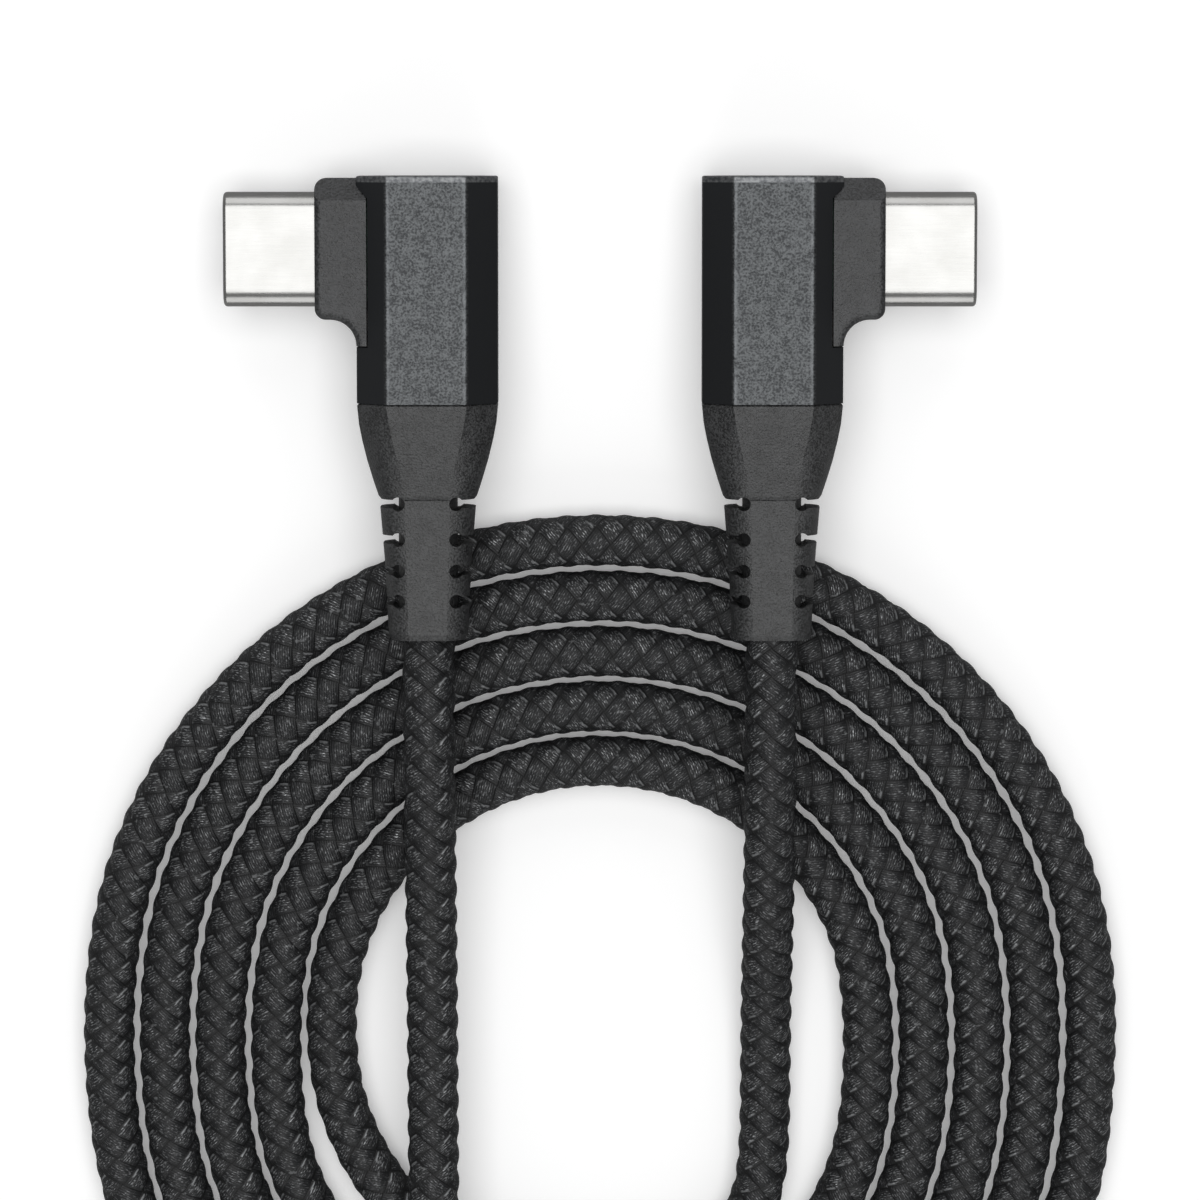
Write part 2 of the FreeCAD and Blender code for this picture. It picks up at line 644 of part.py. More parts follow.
def least_gap(edges):
    """The least distance between two parts of a cord that are well apart along it, less its diameter."""
    points = []
    travelled = 0
    for edge in edges:
        steps = max(1, int(edge.Length / 1.2))
        for step in range(steps):
            spot = edge.getParameterByLength(edge.Length * step / steps)
            points.append((travelled + edge.Length * step / steps, edge.valueAt(spot)))
        travelled += edge.Length
    least = 1e9
    for index, (place, point) in enumerate(points):
        for other_place, other in points[index + 1:]:
            if other_place - place > 5 * CORD_DIAMETER:
                least = min(least, point.distanceToPoint(other))
    return least - CORD_DIAMETER


def lead_points(coil_start, coil_end, coil_end_way):
    """The points of the right and the left lead, from the boot to the coil."""
    boot_end = plug_point(0, BOOT_END, 0)
    clear_of_boot = plug_point(0, BOOT_END - BOOT_RUN, 0)
    x = LEAD_X
    right = [V(x, boot_end.y, boot_end.z), V(x, clear_of_boot.y, clear_of_boot.z)]
    right.extend([V(x, y, z) for y, z in RIGHT_LEAD_PASSES])
    right.append(coil_start)
    bends = [coil_end + coil_end_way * PEEL_RUN]
    for index in range(1, PEEL_BENDS):
        heading = math.radians(180 + PEEL_DEG - index * (90 + PEEL_DEG) / PEEL_BENDS)
        bends.append(bends[-1] + V(math.cos(heading), math.sin(heading), 0) * PEEL_RUN)
    left = [V(-x, boot_end.y, boot_end.z), V(-x, clear_of_boot.y, clear_of_boot.z)]
    left.extend([V(-x, y, z) for y, z in LEFT_LEAD_PASSES])
    left.append(V(-x, bends[-1].y, LEAD_LEVEL))
    left.extend(bends[-2::-1])
    left.append(coil_end)
    return right, left


def export(node, shape):
    """One file per node."""
    shape.exportStep("parts/" + node + ".step")


def report_tube(name, length, ratio, radii):
    """Print what a reader would check on a tube."""
    print(name, "length", round(length, 1), "volume ratio", round(ratio, 4),
          "radii", [round(radius, 1) for radius in radii])


def main():
    os.makedirs("parts", exist_ok=True)
    for name, shape in plug_pieces().items():
        left = place_left(shape)
        right = left.mirror(V(0, 0, 0), V(1, 0, 0))
        for side, placed in (("left_", left), ("right_", right)):
            if not placed.isValid():
                print("not valid:", side + name)
            export(side + name, placed)
        print(name, "solids", len(shape.Solids), "volume", round(shape.Volume, 3))
    edges, start, end, end_way = coil_path()
    coil, coil_length, ratio = sweep(edges, start, V(0, -1, 0))
    report_tube("coil", coil_length, ratio, [])
    print("coil least gap", round(least_gap(edges), 3), "valid", coil.isValid())
    export("coil", coil)
    right_points, left_points = lead_points(start, end, end_way)
    total = coil_length
    for name, points in (("right_lead", right_points), ("left_lead", left_points)):
        lead_edges, radii = rounded_route(points)
        tube, length, ratio = sweep(lead_edges, points[0], points[1] - points[0])
        report_tube(name, length, ratio, radii)
        print([tuple(round(value, 2) for value in point) for point in points])
        export(name, tube)
        total += length
    print("free cord", round(total, 1), "from end to end", round(total + 2 * (STUB_TOP_Y - BOOT_END), 1))


main()
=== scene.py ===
"""The look of a braided charging cable: cord, plugs, the parts inside them, floor, light and camera."""
import math

import bmesh
import bpy
import numpy as np
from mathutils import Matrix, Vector


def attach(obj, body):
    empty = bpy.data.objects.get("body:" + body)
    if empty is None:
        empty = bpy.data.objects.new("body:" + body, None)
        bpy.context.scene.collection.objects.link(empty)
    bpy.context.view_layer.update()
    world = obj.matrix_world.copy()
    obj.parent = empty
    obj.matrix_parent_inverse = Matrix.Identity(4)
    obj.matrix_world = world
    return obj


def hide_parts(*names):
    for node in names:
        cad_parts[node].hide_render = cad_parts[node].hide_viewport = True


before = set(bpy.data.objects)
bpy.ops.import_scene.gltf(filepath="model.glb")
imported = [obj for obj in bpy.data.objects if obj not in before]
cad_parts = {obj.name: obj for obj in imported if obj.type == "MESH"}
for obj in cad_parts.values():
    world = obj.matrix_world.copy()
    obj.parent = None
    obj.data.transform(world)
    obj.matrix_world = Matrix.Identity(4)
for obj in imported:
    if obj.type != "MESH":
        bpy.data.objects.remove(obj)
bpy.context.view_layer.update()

bl_info = {
    "name": "Braided charging cable",
    "version": (1, 0, 0),
    "blender": (4, 5, 0),
    "location": "View3D > Sidebar > Charging cable",
    "description": "Dresses a coiled charging cable with two right-angle plugs",
    "category": "Object",
}

MM = 0.001
SIDES = ("left", "right")

# Places shared with the solids, in millimetres
CORD_RADIUS = 1.85
LEAD_X = 12.5
COIL_CENTRE_Y = -47.7
COIL_INNER_TRACK = 20.25
COIL_PITCH = 4.2
COIL_TRACKS = 5
COIL_DROP = 4.5
COIL_LEVEL = 1.85
LEAD_LEVEL = 5.95
TURN_IN_RADIUS = 11.9
TURN_IN_DEPTH = 17.3
CLIMB_FROM_DEG = 75
PEEL_DEG = 36
PLUG_TILT = math.radians(7.2)
INSIDE_BOOT = 0.6

# Control points of the coil
HALF_TURN_POINTS = 9
QUARTER_TURN_POINTS = 5
CLIMB_POINTS = 4
SPLINE_STEPS = 24
SPLINE_ORDER = 3
SAME_PLACE = 1e-7

# The leads, each from its boot to the coil
RIGHT_LEAD = [(12.5, -16.72, 7.67), (12.5, -24.06, 8.59), (12.5, -32.5, 7.55), (12.5, -40.1, 5.0),
              (12.5, -47.3, 1.85)]
LEFT_LEAD = [(-12.5, -16.72, 7.67), (-12.5, -24.06, 8.59), (-12.5, -33.0, 7.4), (-12.5, -42.0, 6.0),
             (-12.5, -52.0, 5.7), (-12.5, -64.0, 6.05), (-12.5, -80.0, 5.95), (-7.54, -88.05, 5.95),
             (0.87, -92.34, 5.95), (10.28, -91.6, 5.95), (17.92, -86.05, 5.95)]

# Braid: lengths in millimetres
YARNS_EACH_WAY = 4
BRAID_PITCH = 2.1
RING_STEP = 0.31
RING_POINTS = 26
YARN_SWELL = 0.2
PEAK_RISE = 0.09
YARN_FLATNESS = 3
YARN_END_HEIGHT = 0.35
YARN_ARCH = 0.65
WELD_DISTANCE = 1e-6

# A grid point that lies on the line between two yarns counts with the second one
YARN_NUDGE = 1e-6

# Look of a yarn: filament lines across it, specks across and along it, and a painted highlight dash on
# its side
FILAMENT_LINES = 9
SPECKS_ACROSS = 26
SPECKS_ALONG = 7
DASH_PLACE = 0.12
DASH_WIDTH = 0.06

# The housing's flat face and the pale line on its edge, in millimetres from the plug's middle
FACE_ENDS = (2.85, 3.1)
EDGE_LINE_PLACE = 2.75
EDGE_LINE_WIDTH = 0.18

# Painted shade: a darker colour on the housing's bevels, standing in for the shade on these slopes
BEVEL_PAINTED_SHADE = (0.034, 0.036, 0.039)
EDGE_LINE_COLOUR = (0.20, 0.21, 0.22)
CAP_DARK = (0.07, 0.073, 0.078)
CAP_LIGHT = (0.19, 0.195, 0.20)
COLLAR_COLOUR = (0.012, 0.0125, 0.0135)
NICKEL_CLOUD = (0.39, 0.388, 0.38)

# The first wire's colour, and where each next one starts, in millimetres from the plug's middle
FIRST_WIRE = (0.02, 0.02, 0.02)
NEXT_WIRES = ((-0.8, (0.55, 0.02, 0.02)), (0.0, (0.75, 0.75, 0.72)), (0.8, (0.03, 0.25, 0.06)))

# Camera: distances in millimetres, clipping in metres
CAMERA_DISTANCE = 368.0
CAMERA_TARGET = (0.0, -14.7, 4.0)
CAMERA_SENSOR = 36
CAMERA_CLIP = (0.01, 10)

# Lamps: name, place and size in metres, and power as a share of the lamp overhead
LAMPS = (("overhead", (0.0, 0.12, 0.72), 0.72, 1.0),
         ("front card", (0.0, -0.62, 0.24), 0.5, 0.28),
         ("back card", (0.0, 0.62, 0.24), 0.5, 0.28))
LAMP_TARGET = (0.0, -0.02, 0.0)
WORLD_STRENGTH = 0.24

# The floor is darker for the light that it sends back to the cable than for the camera
FLOOR_SIZE = 3
FLOOR_LIT_COLOUR = (0.34, 0.34, 0.34)
FLOOR_GLOW = 0.16

# Sockets of a Mix node that mixes colours
MIX_AMOUNT = 0
MIX_FIRST = 6
MIX_SECOND = 7
MIX_RESULT = 2


class CableLook(bpy.types.PropertyGroup):
    """Sizes and colours of the cable that a user would change."""

    braid_colour: bpy.props.FloatVectorProperty(
        name="Braid colour", description="Colour of the yarn", subtype="COLOR", size=3,
        min=0, max=1, default=(0.0105, 0.011, 0.012))
    glint_colour: bpy.props.FloatVectorProperty(
        name="Glint colour", description="Colour of the filaments that catch the light",
        subtype="COLOR", size=3, min=0, max=1, default=(0.40, 0.41, 0.42))
    yarn_swell: bpy.props.FloatProperty(
        name="Yarn swell", description="How far a yarn stands out of the braid, in millimetres",
        min=0, max=0.4, default=YARN_SWELL)
    housing_dark: bpy.props.FloatVectorProperty(
        name="Housing, dark grain", description="Darker grain of the blasted metal",
        subtype="COLOR", size=3, min=0, max=1, default=(0.034, 0.036, 0.038))
    housing_light: bpy.props.FloatVectorProperty(
        name="Housing, light grain", description="Lighter grain of the blasted metal",
        subtype="COLOR", size=3, min=0, max=1, default=(0.116, 0.122, 0.126))
    rubber_colour: bpy.props.FloatVectorProperty(
        name="Boot colour", description="Colour of the moulded boot", subtype="COLOR", size=3,
        min=0, max=1, default=(0.014, 0.0145, 0.015))
    nickel_colour: bpy.props.FloatVectorProperty(
        name="Shell colour", description="Colour of the nickel plate", subtype="COLOR", size=3,
        min=0, max=1, default=(0.350, 0.348, 0.338))


class StageLook(bpy.types.PropertyGroup):
    """Floor, lamps and camera."""

    floor_colour: bpy.props.FloatVectorProperty(
        name="Floor colour", description="Colour of the floor", subtype="COLOR", size=3,
        min=0, max=1, default=(0.93, 0.93, 0.93))
    lamp_power: bpy.props.FloatProperty(
        name="Lamp power", description="Power of the lamp overhead", unit="POWER",
        min=0, max=100, default=4.1)
    lens: bpy.props.FloatProperty(
        name="Lens", description="Focal length of the camera", unit="CAMERA",
        min=20, max=400, default=150)
    tilt: bpy.props.FloatProperty(
        name="Tilt", description="Angle between the view and straight down", subtype="ANGLE",
        min=0, max=1.5, default=math.radians(12.5))


class Maths:
    """A number inside a material, on which expressions add their Math nodes."""

    def __init__(self, tree, socket):
        self.tree = tree
        self.socket = socket

    def step(self, operation, *others, clamp=False):
        node = self.tree.nodes.new("ShaderNodeMath")
        node.operation = operation
        node.use_clamp = clamp
        for place, value in zip(node.inputs, (self, *others)):
            if isinstance(value, Maths):
                self.tree.links.new(value.socket, place)
            else:
                place.default_value = value
        return Maths(self.tree, node.outputs[0])

    def __add__(self, other):
        return self.step("ADD", other)

    def __sub__(self, other):
        return self.step("SUBTRACT", other)

    def __mul__(self, other):
        return self.step("MULTIPLY", other)

    def __radd__(self, other):
        return self.step("ADD", other)

    def __rsub__(self, other):
        return (self * -1).step("ADD", other)

    def __pow__(self, other):
        return self.step("POWER", other)

    def size(self):
        return self.step("ABSOLUTE")

    def floor(self):
        return self.step("FLOOR")

    def fraction(self):
        return self.step("FRACT")

    def sine(self):
        return self.step("SINE")

    def above(self, level):
        return self.step("GREATER_THAN", level)

    def limited(self):
        return self.step("ADD", 0.0, clamp=True)

    def ramp(self, low, high):
        return ((self - low) * (1 / (high - low))).limited()


class Finish:
    """A material under construction."""

    def __init__(self, name, **fixed):
        self.material = bpy.data.materials.new(name)
        self.material.use_nodes = True
        self.tree = self.material.node_tree
        self.shader = self.tree.nodes["Principled BSDF"]
        self.set(**fixed)

    def node(self, kind, **sockets):
        node = self.tree.nodes.new("ShaderNode" + kind)
        for name, value in sockets.items():
            self.feed(node.inputs[name.replace("_", " ")], value)
        return node

    def feed(self, place, value):
        if isinstance(value, Maths):
            self.tree.links.new(value.socket, place)
        elif isinstance(value, bpy.types.NodeSocket):
            self.tree.links.new(value, place)
        else:
            place.default_value = value

    def place(self, output="Object"):
        return self.node("TexCoord").outputs[output]

    def axes(self, vector):
        split = self.node("SeparateXYZ", Vector=vector)
        return [Maths(self.tree, out) for out in split.outputs]

    def plug_x(self):
        """Millimetres from the middle of the nearer plug, outwards positive."""
        x = self.axes(self.place())[0]
        return (x.size() - LEAD_X * MM) * (1 / MM)

    def join(self, x, y, z):
        return self.node("CombineXYZ", X=x, Y=y, Z=z).outputs[0]

    def noise(self, scale, detail=2.0, vector=None):
        found = self.node("TexNoise", Scale=scale, Detail=detail, Vector=vector or self.place())
        return Maths(self.tree, found.outputs[0])

    def stretched(self, x, y, z):
        return self.node("Mapping", Vector=self.place(), Scale=(x, y, z)).outputs[0]

    def blend(self, amount, first, second):
        mixer = self.node("Mix")
        mixer.data_type = "RGBA"
        self.feed(mixer.inputs[MIX_AMOUNT], amount)
        for index, colour in ((MIX_FIRST, first), (MIX_SECOND, second)):
            if hasattr(colour, "__len__"):
                colour = (*colour, 1.0)
            self.feed(mixer.inputs[index], colour)
        return mixer.outputs[MIX_RESULT]

    def bump(self, height, distance, strength):
        bumped = self.node("Bump", Height=height, Distance=distance, Strength=strength)
        self.set(Normal=bumped.outputs[0])

    def set(self, **sockets):
        for name, value in sockets.items():
            self.feed(self.shader.inputs[name.replace("_", " ")], value)
        return self.material


def look():
    """The cable's settings."""
    return bpy.context.scene.cable_look


def housing_metal():
    """Blasted and dyed aluminium, with a fine light and dark grain and paler edges, and painted shade on
    the bevels.
    """
    finish = Finish("blasted dark aluminium", Metallic=0.8, Specular_IOR_Level=0.5)
    from_middle = finish.plug_x().size()
    on_face = 1 - from_middle.ramp(*FACE_ENDS)
    fine = finish.noise(6500)
    coarse = finish.noise(1500, detail=3)
    grain = (fine * 0.75 + coarse * 0.25).ramp(0.40, 0.60)
    edge_line = 1 - (from_middle - EDGE_LINE_PLACE).size().ramp(0, EDGE_LINE_WIDTH)
    # A pale line along the edge of the flat face, broken into patches by the coarse noise
    pale_edge_patches = edge_line * coarse.ramp(0.3, 0.55) * 0.45
    base = finish.blend(grain, look().housing_dark, look().housing_light)
    # Painted shade: off the flat face, the bevels take the darker bevel colour in place of the grain
    base = finish.blend(on_face, BEVEL_PAINTED_SHADE, base)
    base = finish.blend(pale_edge_patches, base, EDGE_LINE_COLOUR)
    relief = (fine * 0.7 + coarse * 0.3) * (on_face * 0.8 + 0.2)
    finish.bump(relief, distance=0.00007, strength=0.8)
    return finish.set(Base_Color=base, Roughness=0.36 + fine * 0.22)


def end_cap_metal():
    """The cap's cut edge: the same metal, brighter and smoother."""
    finish = Finish("cut dark aluminium", Metallic=0.7)
    grain = finish.noise(3800)
    finish.bump(grain, distance=0.00002, strength=0.3)
    return finish.set(Base_Color=finish.blend(grain.ramp(0.35, 0.65), CAP_DARK, CAP_LIGHT),
                      Roughness=0.28 + grain * 0.18)


def moulded_plastic(name, colour, grain_size, roughness):
    """Black moulded plastic with a spark-eroded grain."""
    finish = Finish(name, Specular_IOR_Level=0.6)
    grain = finish.noise(grain_size, detail=3)
    cloud = finish.noise(900)
    darker = tuple(part * 0.45 for part in colour)
    lighter = tuple(min(1.0, part * 2.8 + 0.010) for part in colour)
    base = finish.blend((grain * 0.8 + cloud * 0.2).ramp(0.40, 0.62), darker, lighter)
    finish.bump(grain + cloud * 0.5, distance=0.00009, strength=0.9)
    return finish.set(Base_Color=base, Roughness=roughness + grain.ramp(0.35, 0.65) * 0.26)


def nickel_plate():
    """Bright nickel with the faint lines of the drawn strip."""
    finish = Finish("bright nickel", Metallic=1.0)
    lines = finish.noise(1.0, detail=3, vector=finish.stretched(500, 9000, 9000))
    cloud = finish.noise(420)
    finish.bump(lines, distance=0.000006, strength=0.35)
    return finish.set(Base_Color=finish.blend(cloud.ramp(0.3, 0.7), look().nickel_colour, NICKEL_CLOUD),
                      Roughness=0.20 + lines * 0.12)


def plain_metal(name, low, high, roughness):
    """Small metal pieces inside the plug."""
    finish = Finish(name, Metallic=1.0)
    grain = finish.noise(3000)
    finish.bump(grain, distance=0.00001, strength=0.3)
    return finish.set(Base_Color=finish.blend(grain, low, high), Roughness=roughness + grain * 0.15)


def small_plastic(name, low, high, roughness):
    """Small plastic and ceramic pieces inside the plug."""
    finish = Finish(name)
    grain = finish.noise(2600)
    finish.bump(grain, distance=0.00002, strength=0.3)
    return finish.set(Base_Color=finish.blend(grain, low, high), Roughness=roughness + grain * 0.1)


def wire_colours():
    """Insulation that changes colour from wire to wire."""
    finish = Finish("wire insulation", Roughness=0.4)
    across = finish.plug_x()
    base = FIRST_WIRE
    for start, colour in NEXT_WIRES:
        base = finish.blend(across.above(start), base, colour)
    finish.bump(finish.noise(1800), distance=0.00001, strength=0.3)
    return finish.set(Base_Color=base)


# Finishes of the inner pieces: kind, name, its two colours, roughness and the pieces that have it
INNER_FINISHES = (
    (small_plastic, "carrier", (0.02, 0.02, 0.02), (0.04, 0.04, 0.04), 0.45, ("contact_carrier",)),
    (plain_metal, "gold plate", (0.80, 0.55, 0.20), (0.95, 0.72, 0.33), 0.22,
     ("upper_contacts", "lower_contacts", "contact_tails")),
    (plain_metal, "spring steel", (0.50, 0.50, 0.51), (0.72, 0.72, 0.72), 0.25,
     ("latch_plate", "near_latch_arm", "far_latch_arm")),
    (small_plastic, "laminate", (0.01, 0.10, 0.05), (0.02, 0.17, 0.09), 0.4, ("circuit_board",)),
    (small_plastic, "chip body", (0.02, 0.02, 0.02), (0.05, 0.05, 0.05), 0.5, ("marker_chip",)),
    (small_plastic, "ceramic", (0.42, 0.28, 0.17), (0.60, 0.44, 0.30), 0.5, ("capacitors",)),
    (plain_metal, "tinned can", (0.5, 0.5, 0.5), (0.7, 0.7, 0.7), 0.3, ("upper_shield", "lower_shield")),
    (plain_metal, "crimped steel", (0.4, 0.4, 0.41), (0.62, 0.62, 0.62), 0.35, ("crimp_ferrule",)),
    (small_plastic, "milky moulding", (0.6, 0.6, 0.56), (0.75, 0.75, 0.71), 0.35, ("inner_mould",)),
    (small_plastic, "stub braid", (0.01, 0.01, 0.01), (0.03, 0.03, 0.03), 0.6, ("cord_stub",)),
)


def yarn_counts(around, along):
    """Place counted in yarns of each direction, for arrays or for numbers inside a material."""
    return around * YARNS_EACH_WAY + along, around * YARNS_EACH_WAY - along


def braid_cloth(length):
    """Woven yarn: flat bundles of filaments that cross one over one, with painted shade in the grooves
    and painted highlights in the colour.
    """
    finish = Finish("braided nylon", Roughness=0.5, Specular_IOR_Level=0.36)
    around, part = finish.axes(finish.place("UV"))[:2]
    first, second = yarn_counts(around, part * (length / BRAID_PITCH))
    odd = ((first.floor() + second.floor()) * 0.5).fraction().above(0.25)
    a = first.fraction()
    b = second.fraction()
    across = a + (b - a) * odd
    run = b + (a - b) * odd
    flat = (1 - (across * 2 - 1).size() ** YARN_FLATNESS).limited()
    height = flat * (YARN_END_HEIGHT + (run * math.pi).sine() * YARN_ARCH)
    strand = (across * (math.pi * FILAMENT_LINES)).sine().size()
    # Each yarn reads its own stretch of the noise, so that no two carry the same specks
    speck = finish.noise(1.0, vector=finish.join(across * SPECKS_ACROSS + first.floor() * 7,
                                                 run * SPECKS_ALONG + second.floor() * 5,
                                                 odd * 40 + part * 900))
    fuzz_glints = finish.noise(2600, detail=3)
    glint = speck.ramp(0.54, 0.66) * strand.ramp(0.30, 0.85) * height.ramp(0.25, 0.75)
    # Painted highlights: a bright dash along one side of the floats of one direction; the floats of the
    # other direction get weaker glints, as painted shade of their sheen
    dash = 1 - (across - DASH_PLACE).size().ramp(0.0, DASH_WIDTH)
    dash = dash * run.ramp(0.45, 0.55) * (1 - run.ramp(0.88, 0.95))
    glint = glint * (0.85 - odd * 0.4) + dash * (1 - odd) * 0.6
    # Painted shade: the yarn's colour is darkened where it dips low between crossings, standing in for
    # the shade in the grooves
    dark = tuple(channel * 0.35 for channel in look().braid_colour)
    base = finish.blend(height.ramp(0.05, 0.55), dark, look().braid_colour)
    # Painted highlights: the glints lighten the base colour as well as making the filaments metallic, so
    # part of each glint is painted
    base = finish.blend(glint.limited(), base, look().glint_colour)
    # Painted highlights: fine fuzz specks lighten the base colour towards the glint colour
    base = finish.blend(fuzz_glints.ramp(0.62, 0.70) * 0.22, base, look().glint_colour)
    finish.bump(height * 1.4 + strand * 0.22 + speck * 0.12, distance=0.00012, strength=0.9)
    return finish.set(Base_Color=base, Metallic=(glint * 0.85).limited(),
                      Roughness=0.58 - glint * 0.22 - height * 0.1)


def arc_points(centre, radius, start_deg, turn_deg, count, rise=0.0):
    """Control points outside an arc, so that the smooth line through them touches it."""
    step = math.radians(turn_deg) / count
    reach = radius / math.cos(step / 2)
    found = []
    for index in range(count):
        angle = math.radians(start_deg) + step * (index + 0.5)
        climbed = 0.5 - 0.5 * math.cos(math.pi * (index + 0.5) / count)
        found.append((centre[0] + reach * math.cos(angle), centre[1] + reach * math.sin(angle),
                      COIL_LEVEL + rise * climbed))
    return found


def coil_points():
    """The coil from the right lead outwards, five turns, and up to where it leaves the floor."""
    low_y = COIL_CENTRE_Y - COIL_DROP
    bottom_x = LEAD_X - TURN_IN_RADIUS
    bottom_y = low_y - TURN_IN_DEPTH
    turn_out_radius = bottom_x + COIL_INNER_TRACK
    points = arc_points((bottom_x, bottom_y + TURN_IN_RADIUS), TURN_IN_RADIUS, 0, -90,
                        QUARTER_TURN_POINTS)
    points += arc_points((bottom_x, bottom_y + turn_out_radius), turn_out_radius, -90, -90,
                         QUARTER_TURN_POINTS)
    middle = (-COIL_PITCH / 2, low_y)
    for track in range(COIL_TRACKS):
        radius = COIL_INNER_TRACK + track * COIL_PITCH
        wider = radius + COIL_PITCH / 2
        points += arc_points((0, COIL_CENTRE_Y), radius, 180, -180, HALF_TURN_POINTS)
        if track < COIL_TRACKS - 1:
            points += arc_points(middle, wider, 0, -180, HALF_TURN_POINTS)
        else:
            flat_turn = CLIMB_FROM_DEG - 90
            points += arc_points(middle, wider, 0, flat_turn, 1)
            points += arc_points(middle, wider, flat_turn, PEEL_DEG - CLIMB_FROM_DEG, CLIMB_POINTS,
                                 rise=LEAD_LEVEL - COIL_LEVEL)
    return points


def smooth_line():
    """The cord's centreline in metres, read from one open spline through its control points."""
    inside = Vector((0, math.cos(PLUG_TILT), -math.sin(PLUG_TILT))) * INSIDE_BOOT
    start = tuple(Vector(LEFT_LEAD[0]) + inside)
    end = tuple(Vector(RIGHT_LEAD[0]) + inside)
    route = [start, *LEFT_LEAD, *coil_points()[::-1], *RIGHT_LEAD[::-1], end]
    curve = bpy.data.curves.new("cord route", "CURVE")
    curve.dimensions = "3D"
    spline = curve.splines.new("NURBS")
    spline.points.add(len(route) - 1)
    for point, place in zip(spline.points, route):
        point.co = (*(Vector(place) * MM), 1.0)
    spline.order_u = SPLINE_ORDER
    spline.use_endpoint_u = True
    spline.resolution_u = SPLINE_STEPS
    carrier = bpy.data.objects.new("cord route", curve)
    bpy.context.scene.collection.objects.link(carrier)
    bpy.context.view_layer.update()
    mesh = bpy.data.meshes.new_from_object(carrier.evaluated_get(bpy.context.evaluated_depsgraph_get()))
    line = np.array([vertex.co for vertex in mesh.vertices])
    bpy.data.objects.remove(carrier)
    bpy.data.meshes.remove(mesh)
    gaps = np.linalg.norm(np.diff(line, axis=0), axis=1)
    return line[np.concatenate(([True], gaps > SAME_PLACE))]


def even_rings(line):
    """Points spread evenly along the line, one for each ring of the tube, and the line's length."""
    gaps = np.linalg.norm(np.diff(line, axis=0), axis=1)
    travelled = np.concatenate(([0], np.cumsum(gaps)))
    length = float(travelled[-1])
    wanted = np.linspace(0, length, int(length / MM / RING_STEP) + 1)
    spread = np.stack([np.interp(wanted, travelled, line[:, axis]) for axis in range(3)], axis=1)
    return spread, length


def yarn_radius(around, along):
    """The tube's radius in metres: yarns that cross one over one, each flat across and arched along."""
    first, second = yarn_counts(around, along)
    first = first + YARN_NUDGE
    second = second + YARN_NUDGE
    odd = (np.floor(first) + np.floor(second)) % 2 > 0.5
    a = first - np.floor(first)
    b = second - np.floor(second)
    across = np.where(odd, b, a)
    run = np.where(odd, a, b)
    flat = np.clip(1 - np.abs(2 * across - 1) ** YARN_FLATNESS, 0, 1)
    height = flat * (YARN_END_HEIGHT + YARN_ARCH * np.sin(math.pi * run))
    return (CORD_RADIUS + PEAK_RISE - look().yarn_swell * (1 - height)) * MM


def make_cord():
    """The braided tube, its yarns raised from the mesh, on the cord's line."""
    centres, length = even_rings(smooth_line())
    rings = len(centres) - 1
    tangents = np.gradient(centres, axis=0)
    tangents /= np.linalg.norm(tangents, axis=1)[:, None]
    sideways = np.cross(tangents, (0, 0, 1.0))
    sideways /= np.linalg.norm(sideways, axis=1)[:, None]
    upward = np.cross(sideways, tangents)
    bm = bmesh.new()
    bmesh.ops.create_grid(bm, x_segments=RING_POINTS, y_segments=rings, size=0.5)
    uv = bm.loops.layers.uv.verify()
    for face in bm.faces:
        for loop in face.loops:
            loop[uv].uv = (loop.vert.co.x + 0.5, loop.vert.co.y + 0.5)
    grid = np.array([vertex.co for vertex in bm.verts])
    around = grid[:, 0] + 0.5
    share = grid[:, 1] + 0.5
    ring = np.rint(share * rings).astype(int)
    radius = yarn_radius(around, share * length / MM / BRAID_PITCH)
    angle = around * 2 * math.pi
    places = (centres[ring] + sideways[ring] * (radius * np.cos(angle))[:, None]
              + upward[ring] * (radius * np.sin(angle))[:, None])
    for vertex, place in zip(bm.verts, places):
        vertex.co = place
    bmesh.ops.remove_doubles(bm, verts=bm.verts, dist=WELD_DISTANCE)
    bmesh.ops.holes_fill(bm, edges=[edge for edge in bm.edges if edge.is_boundary], sides=0)
    bmesh.ops.recalc_face_normals(bm, faces=bm.faces)
    mesh = bpy.data.meshes.new("braided_cord")
    bm.to_mesh(mesh)
    bm.free()
    mesh.shade_smooth()
    cord = bpy.data.objects.new("braided_cord", mesh)
    bpy.context.scene.collection.objects.link(cord)
    mesh.materials.append(braid_cloth(length / MM))
    return cord, centres[::4], length


def dress(material, *names):
    """Gives the same material to the pieces of both plugs."""
    for side in SIDES:
        for name in names:
            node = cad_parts[side + "_" + name]
            node.data.materials.clear()
            node.data.materials.append(material)


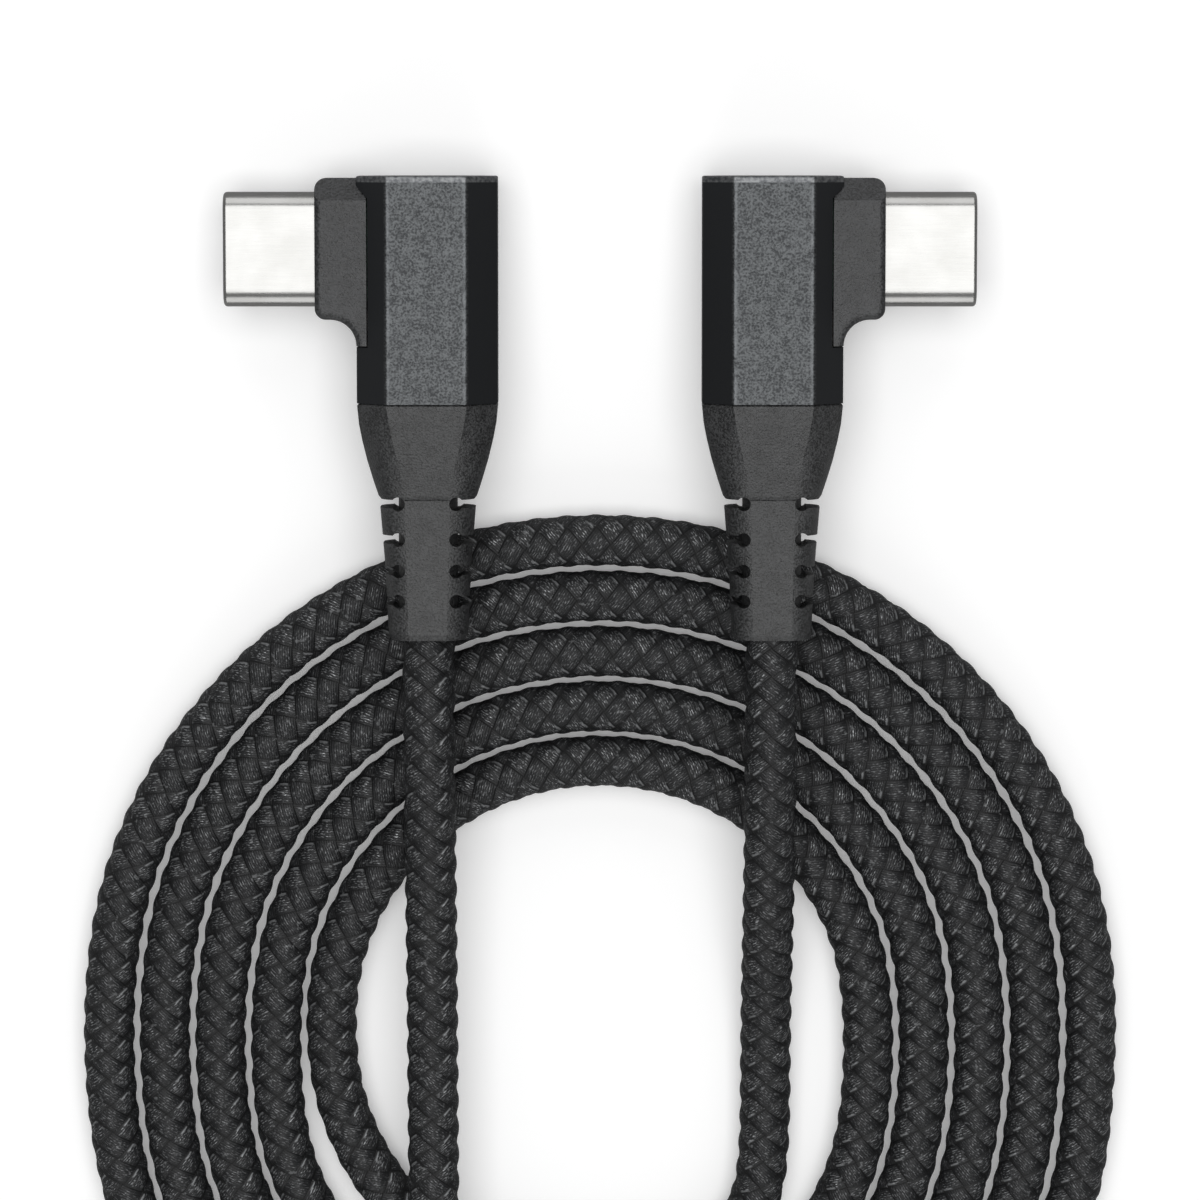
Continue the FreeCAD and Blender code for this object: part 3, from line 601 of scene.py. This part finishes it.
class MakeStage(bpy.types.Operator):
    """Floor, lamps, world and camera"""

    bl_idname = "cable.stage"
    bl_label = "Floor, light and camera"

    def execute(self, context):
        settings = context.scene.stage_look
        self.floor(settings)
        self.lamps(settings)
        self.world()
        self.camera(settings)
        return {"FINISHED"}

    def floor(self, settings):
        bm = bmesh.new()
        bmesh.ops.create_grid(bm, x_segments=1, y_segments=1, size=FLOOR_SIZE)
        mesh = bpy.data.meshes.new("floor")
        bm.to_mesh(mesh)
        bm.free()
        floor = bpy.data.objects.new("floor", mesh)
        bpy.context.scene.collection.objects.link(floor)
        finish = Finish("pale floor", Roughness=0.9, Specular_IOR_Level=0.1)
        seen = Maths(finish.tree, finish.node("LightPath").outputs["Is Camera Ray"])
        finish.set(Base_Color=finish.blend(seen, FLOOR_LIT_COLOUR, settings.floor_colour),
                   Emission_Color=finish.blend(seen, (0, 0, 0), (1, 1, 1)),
                   Emission_Strength=FLOOR_GLOW)
        mesh.materials.append(finish.material)

    def lamps(self, settings):
        for name, place, size, share in LAMPS:
            data = bpy.data.lights.new(name, "AREA")
            data.shape = "SQUARE"
            data.size = size
            data.energy = settings.lamp_power * share
            lamp = bpy.data.objects.new(name, data)
            bpy.context.scene.collection.objects.link(lamp)
            lamp.location = place
            to_target = Vector(LAMP_TARGET) - Vector(place)
            lamp.rotation_euler = to_target.to_track_quat("-Z", "Y").to_euler()

    def world(self):
        world = bpy.data.worlds.new("studio")
        bpy.context.scene.world = world
        world.use_nodes = True
        sky = world.node_tree.nodes["Background"]
        sky.inputs["Color"].default_value = (1, 1, 1, 1)
        sky.inputs["Strength"].default_value = WORLD_STRENGTH

    def camera(self, settings):
        data = bpy.data.cameras.new("camera")
        data.lens = settings.lens
        data.sensor_width = CAMERA_SENSOR
        data.clip_start, data.clip_end = CAMERA_CLIP
        camera = bpy.data.objects.new("camera", data)
        bpy.context.scene.collection.objects.link(camera)
        back = Vector((0, math.sin(settings.tilt), math.cos(settings.tilt)))
        camera.location = Vector(CAMERA_TARGET) * MM + back * (CAMERA_DISTANCE * MM)
        camera.rotation_euler = (-settings.tilt, 0, 0)
        bpy.context.scene.camera = camera
        bpy.context.scene.view_settings.view_transform = "Standard"


class MakeCord(bpy.types.Operator):
    """The braided cord from boot to boot"""

    bl_idname = "cable.cord"
    bl_label = "Braided cord"

    def execute(self, context):
        cord, path, length = make_cord()
        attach(cord, "cable")
        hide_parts("left_lead", "coil", "right_lead")
        return {"FINISHED"}


class DressPlugs(bpy.types.Operator):
    """Finishes on the outside of the two plugs"""

    bl_idname = "cable.plugs"
    bl_label = "Plug finishes"

    def execute(self, context):
        dress(housing_metal(), "housing")
        dress(end_cap_metal(), "end_cap")
        dress(moulded_plastic("satin collar", COLLAR_COLOUR, grain_size=6200, roughness=0.31), "nose")
        dress(moulded_plastic("moulded boot", look().rubber_colour, grain_size=6800, roughness=0.29),
              "boot")
        dress(nickel_plate(), "shell")
        return {"FINISHED"}


class DressInsides(bpy.types.Operator):
    """Finishes on the pieces inside the two plugs"""

    bl_idname = "cable.insides"
    bl_label = "Inner finishes"

    def execute(self, context):
        for kind, name, low, high, roughness, pieces in INNER_FINISHES:
            dress(kind(name, low, high, roughness), *pieces)
        dress(wire_colours(), "wires")
        return {"FINISHED"}


class CablePanel(bpy.types.Panel):
    """Lists the cable's operators and settings"""

    bl_idname = "VIEW3D_PT_charging_cable"
    bl_label = "Charging cable"
    bl_space_type = "VIEW_3D"
    bl_region_type = "UI"
    bl_category = "Charging cable"

    def draw(self, context):
        for operator in OPERATORS:
            self.layout.operator(operator.bl_idname)
        for name in ("braid_colour", "glint_colour", "yarn_swell", "housing_dark", "housing_light"):
            self.layout.prop(context.scene.cable_look, name)
        for name in ("floor_colour", "lamp_power", "lens", "tilt"):
            self.layout.prop(context.scene.stage_look, name)


OPERATORS = (MakeStage, MakeCord, DressPlugs, DressInsides)
CLASSES = (CableLook, StageLook, *OPERATORS, CablePanel)


def register():
    for item in CLASSES:
        bpy.utils.register_class(item)
    bpy.types.Scene.cable_look = bpy.props.PointerProperty(type=CableLook)
    bpy.types.Scene.stage_look = bpy.props.PointerProperty(type=StageLook)


def unregister():
    del bpy.types.Scene.stage_look
    del bpy.types.Scene.cable_look
    for item in reversed(CLASSES):
        bpy.utils.unregister_class(item)


def main():
    register()
    bpy.ops.cable.stage()
    bpy.ops.cable.cord()
    bpy.ops.cable.plugs()
    bpy.ops.cable.insides()


if __name__ == "__main__":
    main()
